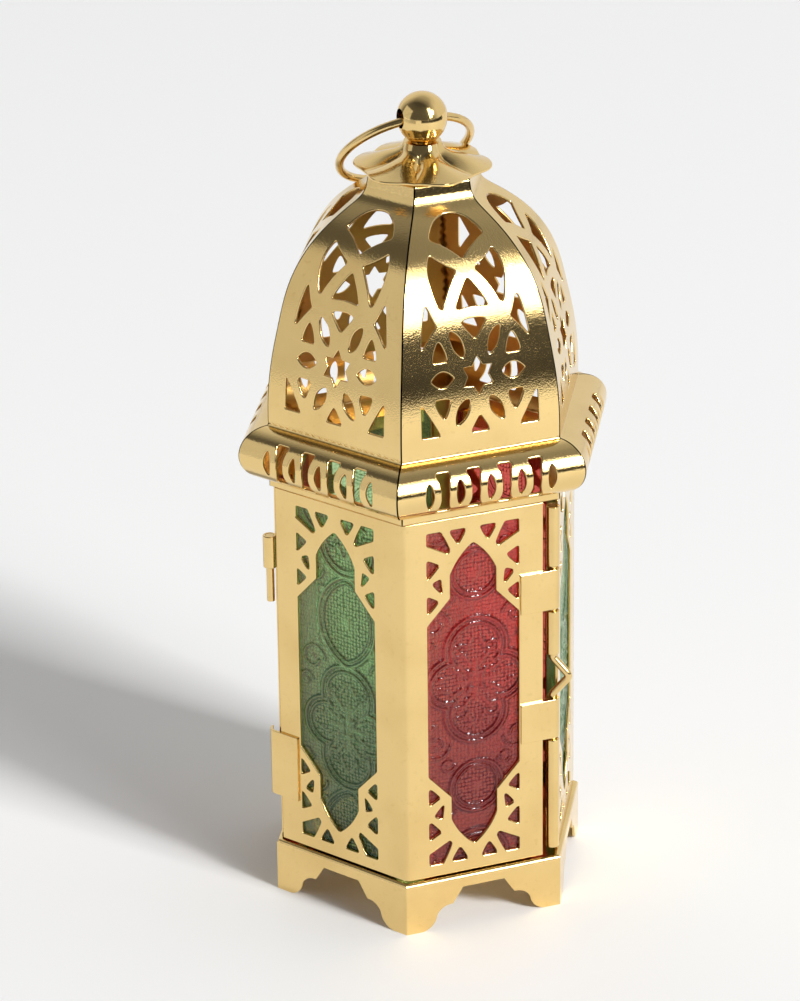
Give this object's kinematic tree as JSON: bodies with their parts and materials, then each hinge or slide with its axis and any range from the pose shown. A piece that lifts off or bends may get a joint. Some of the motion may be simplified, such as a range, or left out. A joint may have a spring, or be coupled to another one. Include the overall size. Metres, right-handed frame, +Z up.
{
  "type": "fanous lantern",
  "caption": "Hexagonal gold metal fanous lantern with coloured pressed-glass windows, hinged corner door, openwork domed roof, collar, bracket feet, ball finial and hanging ring.",
  "frame": {"origin": "on the floor under the middle of the lantern", "axes": "+Z up; -Y towards the front corner between the green and the red pane; +X towards the hinge side"},
  "size_m": [0.0674, 0.0778, 0.1641],
  "materials": {
    "gold_sheet": "polished, lacquered",
    "gold_wire": "polished drawn wire",
    "gold_turned": "polished, turned",
    "pan_metal": "satin",
    "green_glass": "pressed, transparent",
    "red_glass": "pressed, transparent"
  },
  "bodies": {
    "lantern": {"base_stand": "gold_sheet", "candle_cup": "pan_metal", "catch_pin": "gold_wire", "crown_plate": "gold_sheet", "finial_ball": "gold_turned", "finial_screw": "gold_turned", "glass_pane_back_left": "green_glass", "glass_pane_back_right": "red_glass", "glass_pane_left": "red_glass", "glass_pane_right": "green_glass", "hinge_pin": "gold_wire", "neck_plate": "pan_metal", "rear_wall_left": "gold_sheet", "rear_wall_right": "gold_sheet", "roof_panel_back_left": "gold_sheet", "roof_panel_back_right": "gold_sheet", "roof_panel_front_left": "gold_sheet", "roof_panel_front_right": "gold_sheet", "roof_panel_left": "gold_sheet", "roof_panel_right": "gold_sheet"},
    "door": {"door_panel": "gold_sheet", "glass_pane_front_left": "green_glass", "glass_pane_front_right": "red_glass", "hinge_strap_lower": "gold_sheet", "hinge_strap_upper": "gold_sheet", "clasp_strap": "gold_sheet"},
    "ring": {"hang_ring": "gold_wire"}
  },
  "joints": [
    {"name": "door_hinge", "type": "hinge", "parent": "lantern", "child": "door", "pos_m": [0.02686, -0.01551, 0.04965], "axis": [0, 0, 1], "range_deg": [0, 105]},
    {"name": "ring_swing", "type": "hinge", "parent": "lantern", "child": "ring", "pos_m": [0, 0, 0.1594], "axis": [0.866, 0.5, 0], "range_deg": [0, 268]}
  ]
}
